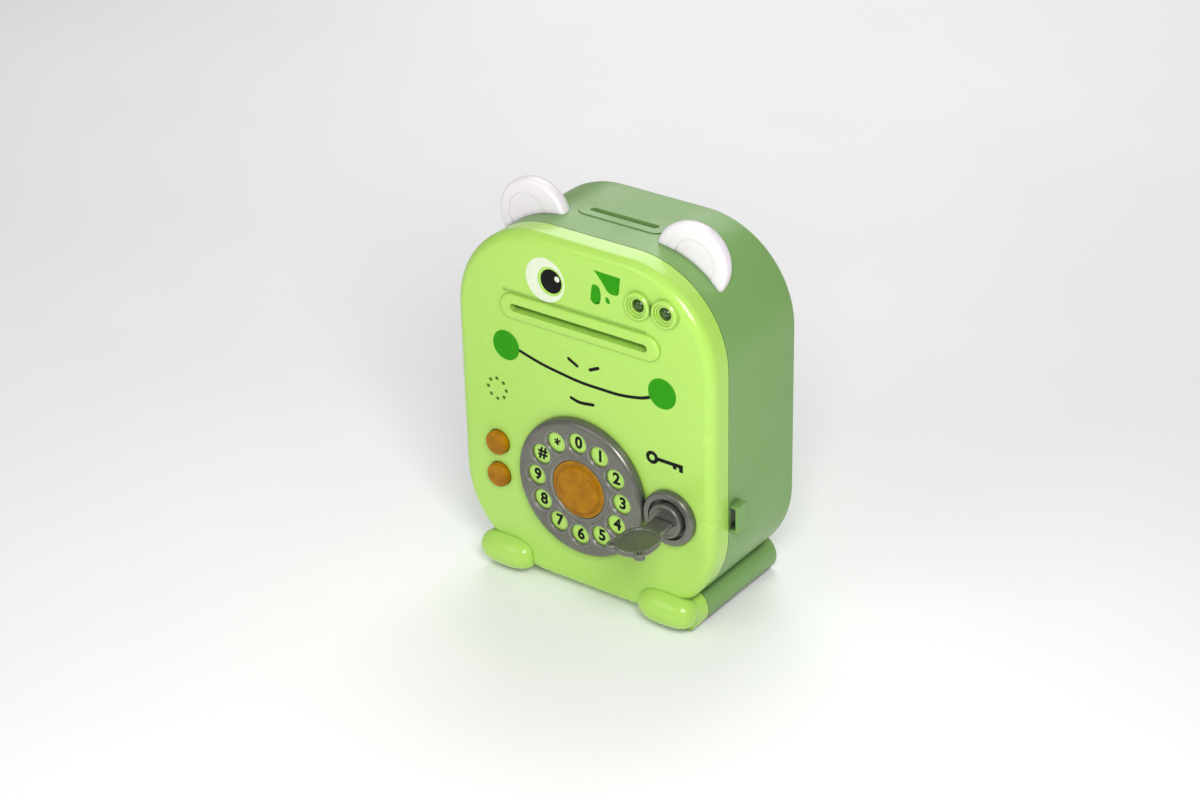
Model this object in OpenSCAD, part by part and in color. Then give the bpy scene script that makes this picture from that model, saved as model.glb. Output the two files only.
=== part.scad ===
// Toy cash-machine savings bank with a key-locked front door.
// +Z is up and the front faces -Y. X = 0 is the middle, Z = 0 is the surface it stands on.

/* [Case] */
// Width of the case
case_w = 165; // [162:0.5:170]
// Height of the case without feet and ears
case_h = 206; // [200:0.5:212]
// Corner radius of the case seen from the front
corner_r = 55; // [50:0.5:58]
// Height of the case above the surface it stands on
ground_gap = 5; // [4.8:0.1:6]
// Depth of the case body behind the seam, without the rear cover
shell_depth = 57.5; // [56:0.5:64]
// Depth of the rear cover
rear_depth = 6; // [6:0.5:8]
// Wall thickness of the case body and the rear cover
shell_wall = 2.5; // [2.2:0.1:3]
// How far the foot rails reach behind the seam
rail_reach = 66.5; // [65:0.5:70]

/* [Door] */
// Depth of the door in front of the seam
door_depth = 15.4; // [15:0.1:17]
// Gap between the door and the case body
door_gap = 0.4; // [0.3:0.05:0.6]
// Wall thickness of the door
door_wall = 2.4; // [2.2:0.1:2.6]
// Radius of the soft edge around the door's face
edge_r = 6; // [5:0.5:7]
// Thickness of the cover on the back of the door
cover_t = 2; // [1.6:0.1:2.2]
// Half the width of a domed front foot
foot_half = 17.4; // [16:0.2:18]
// Radius of a front foot's dome
foot_r = 9.8; // [9:0.2:10.4]

/* [Openings] */
// Length of the coin slot
coin_l = 43; // [36:1:46]
// Width of the coin slot
coin_w = 4.2; // [4.1:0.1:5]
// Coin slot's distance behind the seam
coin_back = 26; // [25.5:0.5:30]
// Length of the banknote slot
note_l = 88; // [80:1:89]
// Height of the banknote slot
note_h = 4.4; // [4.2:0.1:4.8]
// Height of the banknote slot above the ground
note_z = 166; // [164:0.5:168]

/* [Dial and buttons] */
// Outer radius of the dial
dial_r = 40.5; // [39:0.5:41]
// Height of the dial's centre above the ground
dial_z = 70.6; // [69:0.2:72]
// Radius of the circle through the finger holes
hole_circle_r = 28; // [27:0.2:28.6]
// Radius of one finger hole
finger_r = 5.9; // [5.4:0.1:6]
// Number of finger holes
finger_holes = 12; // [8:1:12]
// Radius of the centre button
centre_button_r = 16.7; // [16:0.1:16.7]
// Radius of the two small buttons
side_button_r = 7; // [6.6:0.1:7.4]
// Height of the upper small button
upper_button_z = 79.9; // [79.5:0.1:80.5]
// Height of the lower small button
lower_button_z = 59.9; // [59.5:0.1:60.5]
// Sideways place of the small buttons
side_button_x = -56.9; // [-57.5:0.1:-56]

/* [Lock] */
// Sideways place of the lock
lock_x = 56.5; // [56:0.5:58]
// Height of the lock
lock_z = 70.3; // [69:0.1:71]
// Outer radius of the lock's flange
lock_r = 15.8; // [15:0.1:16]
// Length of the key's head
bow_l = 26; // [22:0.5:27]
// Width of the key's head
bow_w = 21.4; // [20:0.2:22]

/* [Ears] */
// Radius of an ear
ear_r = 21.8; // [20:0.2:22]
// Depth of an ear
ear_depth = 14; // [12:0.5:15]
// Sideways place of an ear's middle
ear_x = 50.4; // [48:0.2:51]
// Height of an ear's middle
ear_z = 204.3; // [203:0.1:205]
// Distance from the seam to an ear's front
ear_back = 12; // [10:0.5:13]

/* [Hidden] */
$fn = 72;
lime = "#b4e06a";
sage = "#86ab72";
amber = "#b8790f";
gunmetal = "#62625d";
steel = "#b9bcc0";
black = "#26272a";
ivory = "#f8f2f7";
board_green = "#1f6a3c";

key_reach = 59;                                // from the seam to the far end of the key
seam_y = (key_reach - rail_reach) / 2;         // centres the whole object on Y = 0
face_y = seam_y - door_depth;                  // flat front face of the door
back_y = seam_y - door_gap;                    // rear rim of the door
cover_y = back_y - cover_t;                    // front of the door's back cover
inner_y = face_y + door_wall;                  // inside of the door's face
shell_end = seam_y + shell_depth;
case_cz = ground_gap + case_h / 2;
rear_edge_r = 3;
free = 0.3;                                    // gap between parts that move past each other
fit = 0.05;                                    // radial clearance of a shaft in its bearing
sink = 0.5;                                    // overlap where two shapes of one piece join

knuckle_r = 2.5;
hinge_x = -(case_w / 2 + knuckle_r + free);
hinge_pin_r = 1.25;
hinge_zs = [92, 148];
hinge_half = 12;                               // half the height of one hinge
knuckle_half = 5.6;                            // half the height of the door's knuckle

lug_out = 5.3;                                 // how far a strap lug stands out of the case
lug_z = 70;
lug_h = 16;

screw_r = 1.2;
post_r = 3.2;

rear_posts = [[-75, 80], [75, 80], [-75, 146], [75, 146]];
cover_posts = [[-70, 40], [70, 40], [-74, 150], [74, 150], [-26, 198], [20, 198]];
board = [-70.5, 52, 94.5, 38];                     // x, z, width, height of the circuit board
board_front = face_y + 8;
board_posts = [[-67.2, 87], [-67.2, 55], [21, 87], [21, 55]];
switches = [[side_button_x, upper_button_z], [side_button_x, lower_button_z], [0, dial_z]];
speaker_x = -56.6;
speaker_z = 112.6;
speaker_r = 14;
lens_places = [[37.9, 188.5], [54.6, 188.4]];

dial_front = face_y - 5.6;
dial_step = face_y - 4.4;                      // ledge that the sleeve's flange holds
sleeve_r = 18.7;
plateau_y = face_y - 3.6;                      // raised ring under the finger holes

lock_front = face_y - 6.8;                     // front of the turning plug
plug_r = 10;
neck_r = 8;
tail_r = 4;
cam_y = seam_y + 6;
cam_t = 2.2;
cam_reach = 16;
key_t = 2;
key_w = 12;
key_tip_y = seam_y - 8;

gear_m = 0.6;                                  // tooth module of all feed gears
sync_teeth = 17;
drive_teeth = 36;
pinion_teeth = 10;
shaft_r = 1.5;
feed_y = seam_y + 14;                          // the feed shafts' distance from the front
pair = gear_m * sync_teeth;                    // distance between the two feed shafts
upper_z = note_z + pair / 2;
lower_z = note_z - pair / 2;
motor_z = upper_z + gear_m * (drive_teeth + pinion_teeth) / 2;
roller_r = 4.9;
roller_x = 18;                                 // sideways place of the rollers
motor_x = 27;                                  // rear end of the motor's can
plate_x = 45;                                  // inside of the feed unit's side plates
plate_t = 2;
feed_back = seam_y + 22;
gear_t = 3;

tray = [-33, 15, 50, 56];                      // x, z, width, height of the battery tray
tray_y = seam_y + 0.2;
tray_depth = 17.2;
tray_wall = 1.6;
cell_r = 7.2;
cell_pitch = 15.4;
cell_y = tray_y + tray_wall + cell_r + 0.4;
cover_screw_x = tray[0] + (tray[2] + cell_pitch) / 2;
cover_screw_z = tray[1] + 3;

// ---- helpers ----

// A front-view outline (x, z) extruded between two depths
module front_extrude(y0, y1) {
    translate([0, y1, 0]) rotate([90, 0, 0]) linear_extrude(y1 - y0) children();
}

// A profile of (radius, y) points turned about an axis along Y
module turned(x, z) {
    translate([x, 0, z]) rotate([-90, 0, 0]) rotate_extrude() children();
}

// A round bar along Y
module bar_y(x, z, r, y0, y1) {
    translate([x, y0, z]) rotate([-90, 0, 0]) cylinder(r = r, h = y1 - y0);
}

// A round bar along X
module bar_x(y, z, r, x0, x1) {
    translate([x0, y, z]) rotate([0, 90, 0]) cylinder(r = r, h = x1 - x0);
}

// A box given by its lowest and highest corners
module block(low, high) {
    translate(low) cube(high - low);
}

module stadium(length, width) {
    for (side = [-1, 1]) translate([side * (length - width) / 2, 0]) circle(width / 2);
    square([length - width, width], center = true);
}

module rounded_rect(w, h, r) {
    square([w - 2 * r, h], center = true);
    square([w, h - 2 * r], center = true);
    for (sx = [-1, 1], sz = [-1, 1]) translate([sx * (w / 2 - r), sz * (h / 2 - r)]) circle(r);
}

// The case's outline in front view, moved inwards by inset
module case_outline(inset = 0) {
    translate([0, case_cz]) rounded_rect(case_w - 2 * inset, case_h - 2 * inset, corner_r - inset);
}

// Half of a slab's cross section, with its outer front corner rounded
module slab_profile(reach, depth, r) {
    square([reach - r, depth]);
    square([reach, depth - r]);
    translate([reach - r, depth - r]) circle(r);
}

// A slab with the case's outline and a soft front edge: its back lies on z = 0
module soft_slab(inset, depth, r) {
    w = case_w - 2 * inset;
    h = case_h - 2 * inset;
    cr = corner_r - inset;
    for (turn = [0 : 3]) {
        sx = turn == 0 || turn == 3 ? 1 : -1;
        sy = turn < 2 ? 1 : -1;
        translate([sx * (w / 2 - cr), sy * (h / 2 - cr), 0]) rotate([0, 0, 90 * turn])
            rotate_extrude(angle = 90) slab_profile(cr, depth, r);
    }
    for (flip = [0, 1]) mirror([0, flip, 0]) translate([-(w / 2 - cr), 0, 0])
        rotate([90, 0, 90]) linear_extrude(w - 2 * cr) slab_profile(h / 2, depth, r);
    for (flip = [0, 1]) mirror([flip, 0, 0]) translate([0, h / 2 - cr, 0])
        rotate([90, 0, 0]) linear_extrude(h - 2 * cr) slab_profile(w / 2, depth, r);
}

// A stadium-shaped plate with a soft front edge: its back lies on z = 0
module soft_stadium(length, width, depth, r) {
    middle = (length - width) / 2;
    for (side = [-1, 1]) translate([side * middle, 0, 0])
        rotate_extrude() slab_profile(width / 2, depth, r);
    for (flip = [0, 1]) mirror([0, flip, 0]) translate([-middle, 0, 0])
        rotate([90, 0, 90]) linear_extrude(2 * middle) slab_profile(width / 2, depth, r);
}

// Both sides of the case, as a mirrored pair
module both_sides() {
    children();
    mirror([1, 0, 0]) children();
}

// A self-tapping screw along Y: its head faces the rear, its tip the front
module screw_from_rear(x, z, head_y, length, head_r = 2.6) {
    bar_y(x, z, screw_r, head_y - length, head_y + sink);
    difference() {
        bar_y(x, z, head_r, head_y, head_y + 1.6);
        block([x - head_r, head_y + 1, z - 0.4], [x + head_r, head_y + 2, z + 0.4]);
        block([x - 0.4, head_y + 1, z - head_r], [x + 0.4, head_y + 2, z + head_r]);
    }
}

// A button's coil spring with a flat wire, from depth y0 to y1
module coil_spring(x, z, y0, y1, r, turns) {
    wire = 0.7;
    translate([x, y0, z]) rotate([-90, 0, 0])
        linear_extrude(y1 - y0, twist = -360 * turns, slices = 10 * turns, convexity = 6)
            difference() {
                circle(r + wire / 2, $fn = 20);
                circle(r - wire / 2, $fn = 20);
                translate([-2 * r, -4 * r]) square(4 * r);
            }
}

// A spur gear along X with straight-sided teeth
module spur_gear(y, z, x0, teeth, thick, bore, turn = 0) {
    pitch_r = gear_m * teeth / 2;
    step = 360 / teeth;
    tip_r = pitch_r + 0.8 * gear_m;
    root_r = pitch_r - 1.15 * gear_m;
    outline = [for (k = [0 : teeth - 1], c = [[root_r, -0.3], [tip_r, -0.12], [tip_r, 0.12], [root_r, 0.3]])
        c[0] * [cos((k + c[1]) * step + turn), sin((k + c[1]) * step + turn)]];
    translate([x0, y, z]) rotate([0, 90, 0]) difference() {
        linear_extrude(thick) polygon(outline);
        translate([0, 0, -1]) cylinder(r = bore, h = thick + 2);
    }
}

// ---- case body ----

// A foot rail's outline in front view, cut off level at height low
module rail_outline(low = 0) intersection() {
    union() {
        translate([58.5, 9]) circle(11.3);
        translate([45, 0]) square([13.5, 20]);
    }
    translate([40, low]) square([40, 24]);
}

module foot_rail() difference() {
    front_extrude(seam_y, seam_y + rail_reach) rail_outline();
    front_extrude(shell_end, seam_y + rail_reach + 1) case_outline();
}

module strap_lug() {
    difference() {
        block([case_w / 2 - sink, seam_y + 0.6, lug_z - lug_h / 2],
              [case_w / 2 + lug_out, seam_y + 9, lug_z + lug_h / 2]);
        block([case_w / 2, seam_y, lug_z - lug_h / 2 + 1.6],
              [case_w / 2 + lug_out - 1.6, seam_y + 10, lug_z + lug_h / 2 - 1.6]);
    }
}

module case_shell() color(sage) difference() {
    union() {
        difference() {
            union() {
                front_extrude(seam_y, shell_end) case_outline();
                both_sides() foot_rail();
            }
            front_extrude(seam_y - 1, shell_end + 1) case_outline(shell_wall);
        }
        both_sides() strap_lug();
        translate([0, seam_y + coin_back, ground_gap + case_h - sink])
            linear_extrude(sink + 0.6) stadium(coin_l + 13, coin_w + 10);
        for (p = rear_posts) {
            bar_y(p[0], p[1], 4.2, shell_end - 16, shell_end - 0.4);
            side = sign(p[0]);
            block([min(p[0], side * 81), shell_end - 16, p[1] - 1.2],
                  [max(p[0], side * 81), shell_end - 0.4, p[1] + 1.2]);
        }
        for (z = hinge_zs, s = [-1, 1]) {
            low = z + (s > 0 ? knuckle_half + free : -hinge_half);
            high = low + hinge_half - knuckle_half - free;
            translate([hinge_x, seam_y, low]) cylinder(r = knuckle_r, h = high - low);
            block([hinge_x, seam_y, low], [-case_w / 2 + 1, seam_y + knuckle_r, high]);
        }
    }
    for (z = hinge_zs) translate([hinge_x, seam_y, z - 20]) cylinder(r = hinge_pin_r + 0.02, h = 40);
    for (p = rear_posts) bar_y(p[0], p[1], screw_r, shell_end - 14, shell_end);
    translate([0, seam_y + coin_back, case_h - 10]) linear_extrude(30) stadium(coin_l, coin_w);
    both_sides() ear_pegs(2.05);
}

module rear_cover() color(sage) difference() {
    union() {
        difference() {
            translate([0, shell_end, case_cz]) rotate([-90, 0, 0]) soft_slab(0, rear_depth, rear_edge_r);
            translate([0, shell_end - 1, case_cz]) rotate([-90, 0, 0])
                soft_slab(shell_wall, rear_depth - 1.5, rear_edge_r - 1);
        }
        difference() {
            front_extrude(shell_end - 3, shell_end + 1) case_outline(shell_wall + 0.2);
            front_extrude(shell_end - 4, shell_end + 2) case_outline(shell_wall + 1.6);
            for (p = rear_posts) bar_y(p[0], p[1], 7, shell_end - 4, shell_end - 0.3);
        }
        for (p = rear_posts) bar_y(p[0], p[1], 4.2, shell_end, shell_end + rear_depth - 1);
    }
    for (p = rear_posts) {
        bar_y(p[0], p[1], 1.6, shell_end - 1, shell_end + rear_depth + 1);
        bar_y(p[0], p[1], 3, shell_end + 2.4, shell_end + rear_depth + 1);
    }
}

module rear_cover_screws() color(steel)
    for (p = rear_posts) screw_from_rear(p[0], p[1], shell_end + 2.4, 12);

// The strike that the lock's cam turns behind
module lock_strike() color(steel) {
    wall_x = case_w / 2 - shell_wall;
    block([72, seam_y + 2.5, lock_z - 9], [wall_x, seam_y + 5.3, lock_z + 9]);
    block([wall_x - 1.2, seam_y + 0.5, lock_z - 9], [wall_x, seam_y + 5.3, lock_z + 9]);
}

module hinge_pins() color(steel)
    for (z = hinge_zs) translate([hinge_x, seam_y, z - hinge_half])
        cylinder(r = hinge_pin_r, h = 2 * hinge_half);

// ---- ears ----

module ear_pegs(r) {
    for (peg = [[44, 197, 210], [60, 188, 202]])
        translate([peg[0], seam_y + ear_back + 7, peg[1]]) cylinder(r = r, h = peg[2] - peg[1]);
}

// Half of an ear's section: a flat front with a soft rim and a domed back
function ear_profile(steps = 16) = let (rim = 2.2, bulge = 2.6) concat(
    [[0, 0]],
    [for (a = [0 : 22.5 : 90]) [ear_r - rim + rim * sin(a), rim - rim * cos(a)]],
    [for (k = [1 : steps]) let (u = k / steps) [
        ear_r * pow(max(0, 1 - pow(u, bulge)), 1 / bulge), rim + u * (ear_depth - rim)]]);

module ear() {
    front = seam_y + ear_back;
    difference() {
        turned(ear_x, ear_z) translate([0, front]) polygon(ear_profile());
        front_extrude(seam_y, shell_end) case_outline();
        bar_y(ear_x + 2.6, ear_z + 1.2, 12.4, front - 1, front + 0.35);
    }
    ear_pegs(2);
}

module ear_right() color(ivory) ear();

module ear_left() color(ivory) mirror([1, 0, 0]) ear();

// ---- door ----

// The door's slab, moved inwards by inset on all sides but the rear, and out of the rear by past
module door_slab(inset = 0, past = 0) translate([0, back_y + past, case_cz]) rotate([90, 0, 0])
    soft_slab(inset, door_depth - door_gap - inset + past, edge_r - inset);

// Half of a front foot's lengthwise section: (radius, x) points from one end to the other
function foot_profile(steps = 20) = let (bulge = 2.75)
    [for (k = [-steps : steps]) let (u = k / steps)
        [foot_r * pow(1 - pow(abs(u), bulge), 1 / bulge), u * foot_half]];

// A domed front foot with a block that fills the door's lower corner, just clear of the ground
module front_foot() difference() {
    union() {
        translate([53.4, face_y + 1.1, 12.4]) rotate([0, 90, 0]) rotate_extrude() polygon(foot_profile());
        front_extrude(face_y + 3.5, back_y) rail_outline(0.5);
    }
    door_slab();
}

module front_foot_right() color(lime) front_foot();

module front_foot_left() color(lime) mirror([1, 0, 0]) front_foot();

// A raised ring whose inside steps down to its lens
module lens_boss(x, z) turned(x, z) polygon([
    [3, face_y + sink], [3, face_y - 0.8], [4.9, face_y - 0.8], [4.9, face_y - 1.7],
    [6.1, face_y - 1.7], [6.1, face_y - 2.8], [7.1, face_y - 2.8], [7.8, face_y - 2.1],
    [7.8, face_y + sink]]);

module door_posts() {
    for (p = cover_posts) bar_y(p[0], p[1], post_r, inner_y - sink, cover_y);
    for (p = board_posts) bar_y(p[0], p[1], 2.6, inner_y - sink, board_front);
    difference() {
        bar_y(speaker_x, speaker_z, speaker_r + 1.8, inner_y - sink, inner_y + 2.6);
        bar_y(speaker_x, speaker_z, speaker_r + 0.2, inner_y, inner_y + 3);
    }
}

module door_panel() color(lime) difference() {
    union() {
        difference() {
            door_slab();
            door_slab(door_wall, 1);
        }
        translate([0, face_y + sink, note_z]) rotate([90, 0, 0]) soft_stadium(102, 14.4, 2.2 + sink, 1.6);
        for (p = lens_places) lens_boss(p[0], p[1]);
        turned(0, dial_z) translate([21, plateau_y]) square([14, face_y - plateau_y + sink]);
        door_posts();
        for (z = hinge_zs) {
            translate([hinge_x, seam_y, z - knuckle_half]) cylinder(r = knuckle_r, h = 2 * knuckle_half);
            block([hinge_x, back_y - knuckle_r, z - knuckle_half],
                  [-case_w / 2 + 1, back_y, z + knuckle_half]);
        }
    }
    for (z = hinge_zs) translate([hinge_x, seam_y, z - 20]) cylinder(r = hinge_pin_r + fit, h = 40);
    front_extrude(face_y - 3, inner_y + 1) translate([0, note_z]) stadium(note_l, note_h);
    front_extrude(face_y - 1, face_y + 0.6) translate([-3.6, note_z + 8.3]) stadium(92, 1.5);
    for (p = lens_places) bar_y(p[0], p[1], 3.7, face_y - 4, inner_y + 1);
    for (z = [upper_button_z, lower_button_z])
        bar_y(side_button_x, z, side_button_r + free, face_y - 1, inner_y + 1);
    bar_y(0, dial_z, sleeve_r + 0.02, face_y - 3, inner_y + 1);
    bar_y(lock_x, lock_z, plug_r + 0.02, face_y - 1, inner_y + 1);
    for (a = [0 : 45 : 315])
        bar_y(speaker_x + 6.1 * cos(a), speaker_z + 6.1 * sin(a), 1.1, face_y - 1, inner_y + 1);
    for (p = cover_posts) bar_y(p[0], p[1], screw_r, inner_y, cover_y + 1);
    for (p = board_posts) bar_y(p[0], p[1], screw_r, inner_y, board_front + 1);
}

module door_back_cover() color(lime) difference() {
    front_extrude(cover_y, back_y) case_outline(door_wall + 0.2);
    front_extrude(cover_y - 1, back_y + 1) translate([0, note_z])
        square([2 * plate_x + 5.2, 9.6], center = true);
    bar_y(lock_x, lock_z, 11.5, cover_y - 1, back_y + 1);
    for (p = cover_posts) bar_y(p[0], p[1], 1.6, cover_y - 1, back_y + 1);
    for (x = [-53, 53], z = [155, 188]) bar_y(x, z, screw_r, cover_y - 1, back_y + 1);
}

module cover_screws() color(steel)
    for (p = cover_posts) screw_from_rear(p[0], p[1], back_y, 8);

// ---- dial ----

module dial_sleeve() color(gunmetal) turned(0, dial_z) polygon([
    [17, face_y - 4.9], [17.6, face_y - 5.5], [19.9, face_y - 5.5], [19.9, face_y - 4.7],
    [sleeve_r, face_y - 4.7], [sleeve_r, face_y + 5.4], [17.7, face_y + 5.4],
    [17.7, face_y - 3.5], [17, face_y - 3.5]]);

module sleeve_clip() color(black) difference() {
    bar_y(0, dial_z, 21.5, inner_y, inner_y + 1.6);
    bar_y(0, dial_z, sleeve_r + 0.02, inner_y - 1, inner_y + 3);
}

module dial_ring() color(gunmetal) difference() {
    rim = 3.2;
    turned(0, dial_z) polygon(concat(
        [[sleeve_r + fit, face_y - 0.5], [20.6, face_y - 0.5], [20.6, plateau_y - free],
            [35.6, plateau_y - free], [35.6, face_y - 0.5], [dial_r, face_y - 0.5]],
        [for (a = [0 : 10 : 90]) [dial_r - rim + rim * cos(a), dial_front + rim - rim * sin(a)]],
        [[20.2, dial_front], [20.2, dial_step], [sleeve_r + fit, dial_step]]));
    for (k = [1 : finger_holes]) {
        x = hole_circle_r * sin(k * 360 / finger_holes);
        z = dial_z + hole_circle_r * cos(k * 360 / finger_holes);
        bar_y(x, z, finger_r, dial_front - 1, face_y);
        translate([x, dial_front - 0.01, z]) rotate([-90, 0, 0])
            cylinder(r1 = finger_r + 0.8, r2 = finger_r, h = 0.8);
    }
}

// ---- buttons ----

module centre_button() color(amber) turned(0, dial_z) {
    cap_r = 13.7;
    soft = 1.2;
    front = face_y - 6.8;
    flange_r = centre_button_r + 0.7;
    polygon([[0, front], [cap_r - soft, front], [cap_r - soft, front + soft], [cap_r, front + soft],
        [cap_r, face_y - 5], [centre_button_r, face_y - 5], [centre_button_r, face_y - 3.2],
        [flange_r, face_y - 3.2], [flange_r, face_y - 1.8],
        [3, face_y - 1.8], [3, face_y + 3.8], [0, face_y + 3.8]]);
    translate([cap_r - soft, front + soft]) circle(soft);
}

module side_button(z) color(amber) turned(side_button_x, z) {
    soft = 1.3;
    front = face_y - 3.6;
    flange_r = side_button_r + 1.2;
    polygon([[0, front], [side_button_r - soft, front], [side_button_r - soft, front + soft],
        [side_button_r, front + soft], [side_button_r, inner_y + free], [flange_r, inner_y + free],
        [flange_r, inner_y + 1.3], [0, inner_y + 1.3]]);
    translate([side_button_r - soft, front + soft]) circle(soft);
}

module upper_button() side_button(upper_button_z);

module lower_button() side_button(lower_button_z);

module upper_button_spring() color(steel)
    coil_spring(side_button_x, upper_button_z, inner_y + 1.4, board_front - 0.1, 5.4, 3);

module lower_button_spring() color(steel)
    coil_spring(side_button_x, lower_button_z, inner_y + 1.4, board_front - 0.1, 5.4, 3);

module centre_button_spring() color(steel)
    coil_spring(0, dial_z, face_y - 1.7, board_front - 0.1, 5.4, 5);

// ---- electronics ----

module main_board() color(board_green) difference() {
    front_extrude(board_front, board_front + 1.6)
        translate([board[0], board[1]]) square([board[2], board[3]]);
    for (p = board_posts) bar_y(p[0], p[1], 1.6, board_front - 1, board_front + 3);
}

module board_screws() color(steel)
    for (p = board_posts) screw_from_rear(p[0], p[1], board_front + 1.6, 6, 2.2);

module tactile_switches() color(black) for (s = switches) {
    block([s[0] - 3, board_front - 1.8, s[1] - 3], [s[0] + 3, board_front, s[1] + 3]);
    bar_y(s[0], s[1], 1.7, board_front - 2.3, board_front - 1);
}

module board_components() color(black) {
    turned(-34, 74)
        polygon([[0, board_front - 1.6], [3, board_front - 1.5], [6, board_front], [0, board_front]]);
    for (x = [-44, -37, -30]) bar_y(x, 60, 2, board_front - 5, board_front);
    for (k = [0 : 3]) block([-46 + 5 * k, board_front - 0.8, 84], [-43.5 + 5 * k, board_front, 85.4]);
}

module speaker_basket() color(steel) turned(speaker_x, speaker_z) polygon([
    [13, inner_y + 0.2], [speaker_r, inner_y + 0.2], [speaker_r, inner_y + 1.4], [9, inner_y + 6],
    [9, inner_y + 6.8], [0, inner_y + 6.8], [0, inner_y + 6], [8, inner_y + 6], [13, inner_y + 1.4]]);

module speaker_cone() color(black) turned(speaker_x, speaker_z) polygon([
    [12.6, inner_y + 0.6], [4, inner_y + 4], [0, inner_y + 3.2], [0, inner_y + 3.6],
    [4, inner_y + 4.5], [12.6, inner_y + 1.1]]);

module speaker_magnet() color(gunmetal) bar_y(speaker_x, speaker_z, 8, inner_y + 6.8, inner_y + 10);

module indicator_lenses() color("#3d5a1c") for (p = lens_places) turned(p[0], p[1]) {
    polygon([[0, face_y + 0.4], [3.5, face_y + 0.4], [3.5, inner_y + 0.1], [5, inner_y + 0.1],
        [5, inner_y + 1], [0, inner_y + 1]]);
    intersection() {
        translate([0, face_y + 2.1]) circle(3.5);
        translate([0, face_y - 2]) square([4, 3]);
    }
}

module indicator_leds() color("#e8f3d0") for (p = lens_places) {
    bar_y(p[0], p[1], 2.5, inner_y + 3.4, inner_y + 6.8);
    translate([p[0], inner_y + 3.4, p[1]]) sphere(2.48);
    bar_y(p[0], p[1], 2.9, inner_y + 6, inner_y + 7);
}

module indicator_board() color(board_green)
    block([30, inner_y + 7, 183], [62, inner_y + 8.4, 192.5]);

// ---- lock ----

module lock_housing() color(gunmetal) turned(lock_x, lock_z) {
    rim = 1.9;
    polygon([[neck_r + fit, face_y - 0.9], [plug_r + 1.9, face_y - 0.9],
        [lock_r - 2 * rim, face_y - 4], [lock_r - rim, face_y - 4.2],
        [lock_r - rim, face_y - 4.2 + rim], [lock_r, face_y - 4.2 + rim],
        [lock_r, face_y - 0.02], [plug_r, face_y - 0.02],
        [plug_r, face_y + 10.4], [neck_r + fit, face_y + 10.4]]);
    translate([lock_r - rim, face_y - 4.2 + rim]) circle(rim);
}

module lock_nut() color(steel) difference() {
    translate([lock_x, inner_y + 0.05, lock_z]) rotate([-90, 0, 0]) cylinder(r = 13.6, h = 3, $fn = 6);
    bar_y(lock_x, lock_z, plug_r + 0.02, inner_y - 1, inner_y + 4);
}

module lock_plug() color(gunmetal) difference() {
    union() {
        turned(lock_x, lock_z) {
            soft = 1.3;
            polygon([[0, lock_front + 0.5], [plug_r - 2 * soft, lock_front + 0.5],
                [plug_r - soft, lock_front], [plug_r - soft, lock_front + soft],
                [plug_r, lock_front + soft], [plug_r, face_y - 1.2],
                [neck_r, face_y - 1.2], [neck_r, face_y + 11], [tail_r, face_y + 11],
                [tail_r, cam_y - 0.1], [0, cam_y - 0.1]]);
            translate([plug_r - soft, lock_front + soft]) circle(soft);
        }
        block([lock_x - 2.5, cam_y - 1, lock_z - 2.5], [lock_x + 2.5, cam_y + cam_t, lock_z + 2.5]);
    }
    block([lock_x - key_w / 2 - free, lock_front - 1, lock_z - key_t / 2 - free],
          [lock_x + key_w / 2 + free, key_tip_y + 0.5, lock_z + key_t / 2 + free]);
    bar_y(lock_x, lock_z, screw_r, cam_y - 6, cam_y + 5);
}

// The cam hangs down when the door is free, and turns to the side to lock
module lock_cam() color(steel) difference() {
    front_extrude(cam_y, cam_y + cam_t) {
        translate([lock_x, lock_z]) circle(6);
        translate([lock_x - 5, lock_z - cam_reach]) square([10, cam_reach]);
        translate([lock_x, lock_z - cam_reach]) circle(5);
    }
    block([lock_x - 2.52, cam_y - 1, lock_z - 2.52], [lock_x + 2.52, cam_y + 4, lock_z + 2.52]);
}

module cam_screw() color(steel) screw_from_rear(lock_x, lock_z, cam_y + cam_t, 6, 3.6);

module door_key() color(gunmetal) {
    tip_y = seam_y - key_reach;
    bow_y = tip_y + bow_l / 2;
    bow_t = key_t + 1;
    low = lock_z - bow_t / 2;
    lugs = [[lock_x - 8.6, tip_y + 3], [lock_x + 8.6, tip_y + 3]];
    difference() {
        union() {
            translate([lock_x, bow_y, low]) linear_extrude(bow_t) rotate(90) stadium(bow_l, bow_w);
            for (l = lugs) translate([l[0], l[1], low]) cylinder(r = 3, h = bow_t);
            block([lock_x - key_w / 2, bow_y + bow_l / 2 - 2, lock_z - key_t / 2],
                  [lock_x + key_w / 2, key_tip_y, lock_z + key_t / 2]);
        }
        for (z = [low - 1, low + bow_t - 0.8]) {
            translate([lock_x, bow_y, z]) linear_extrude(1.8) rotate(90) stadium(bow_l - 3.6, bow_w - 3.6);
            for (l = lugs) translate([l[0], l[1], z]) cylinder(r = 1.5, h = 1.8);
        }
    }
}

// ---- banknote feed ----

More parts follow.
